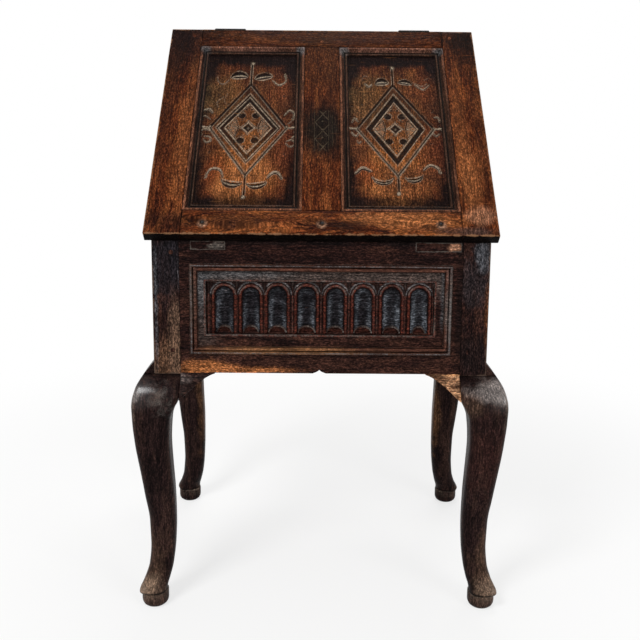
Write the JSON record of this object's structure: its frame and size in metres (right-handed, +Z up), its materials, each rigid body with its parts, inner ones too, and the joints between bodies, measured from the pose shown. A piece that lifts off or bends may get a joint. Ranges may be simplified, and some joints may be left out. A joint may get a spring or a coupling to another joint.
{
  "type": "bible box on stand",
  "caption": "Joined oak desk box with a carved sloping lid hinged at its top edge, on four cabriole legs with pad feet.",
  "frame": {"origin": "on the floor, below the middle of the four feet", "axes": "+Z up; the front board faces -Y; +X to the right of someone facing the front"},
  "size_m": [0.671, 0.5106, 1.0762],
  "materials": {
    "oak_lid_frame": "waxed, worn satin",
    "oak_lid_panel": "waxed, dark at the edges",
    "oak_lid_moulding": "waxed, darkened",
    "oak_peg": "waxed",
    "oak_carcass": "waxed, nearly black",
    "oak_front_board": "waxed, nearly black",
    "oak_front_moulding": "waxed, rubbed on the edges",
    "oak_patch": "waxed",
    "oak_leg": "waxed, glossy on the knees",
    "oak_broken_bracket": "raw broken wood",
    "oak_inside": "dry, unwaxed",
    "oak_back": "dry, dark",
    "iron_hinge": "dark wrought iron"
  },
  "bodies": {
    "carcass": {"back_bottom_rail": "oak_back", "back_muntin": "oak_back", "back_panel_left": "oak_back", "back_panel_right": "oak_back", "back_top_rail": "oak_back", "bearer_left": "oak_inside", "bearer_right": "oak_inside", "carcass_pegs": "oak_peg", "floor_board_1": "oak_inside", "floor_board_2": "oak_inside", "floor_board_3": "oak_inside", "front_board": "oak_front_board", "front_bracket_left": "oak_leg", "front_bracket_right": "oak_broken_bracket", "front_moulding_bottom": "oak_front_moulding", "front_moulding_left": "oak_front_moulding", "front_moulding_right": "oak_front_moulding", "front_moulding_top": "oak_front_moulding", "front_patch_left": "oak_patch", "front_patch_right": "oak_patch", "hinge_fixed_leaf_left": "iron_hinge", "hinge_fixed_leaf_right": "iron_hinge", "hinge_nails_fixed": "iron_hinge", "hinge_pins": "iron_hinge", "leg_back_left": "oak_leg", "leg_back_right": "oak_leg", "leg_front_left": "oak_leg", "leg_front_right": "oak_leg", "post_back_left": "oak_carcass", "post_back_right": "oak_carcass", "post_front_left": "oak_carcass", "post_front_right": "oak_carcass", "side_bottom_rail_left": "oak_carcass", "side_bottom_rail_right": "oak_carcass", "side_bracket_back_left": "oak_leg", "side_bracket_back_right": "oak_leg", "side_bracket_front_left": "oak_leg", "side_bracket_front_right": "oak_leg", "side_lower_panel_left": "oak_carcass", "side_lower_panel_right": "oak_carcass", "side_middle_rail_left": "oak_carcass", "side_middle_rail_right": "oak_carcass", "side_slope_rail_left": "oak_carcass", "side_slope_rail_right": "oak_carcass", "side_upper_panel_left": "oak_carcass", "side_upper_panel_right": "oak_carcass", "top_board": "oak_carcass"},
    "lid": {"hinge_moving_leaf_left": "iron_hinge", "hinge_moving_leaf_right": "iron_hinge", "hinge_nails_lid": "iron_hinge", "lid_bottom_rail": "oak_lid_frame", "lid_moulding_left": "oak_lid_moulding", "lid_moulding_right": "oak_lid_moulding", "lid_muntin": "oak_lid_frame", "lid_panel_left": "oak_lid_panel", "lid_panel_right": "oak_lid_panel", "lid_pegs": "oak_peg", "lid_stile_left": "oak_lid_frame", "lid_stile_right": "oak_lid_frame", "lid_top_rail": "oak_lid_frame"}
  },
  "joints": [
    {"name": "lid_hinge", "type": "hinge", "parent": "carcass", "child": "lid", "pos_m": [0, 0.12694, 1.07401], "axis": [-1, 0, 0], "range_deg": [0, 145]}
  ]
}
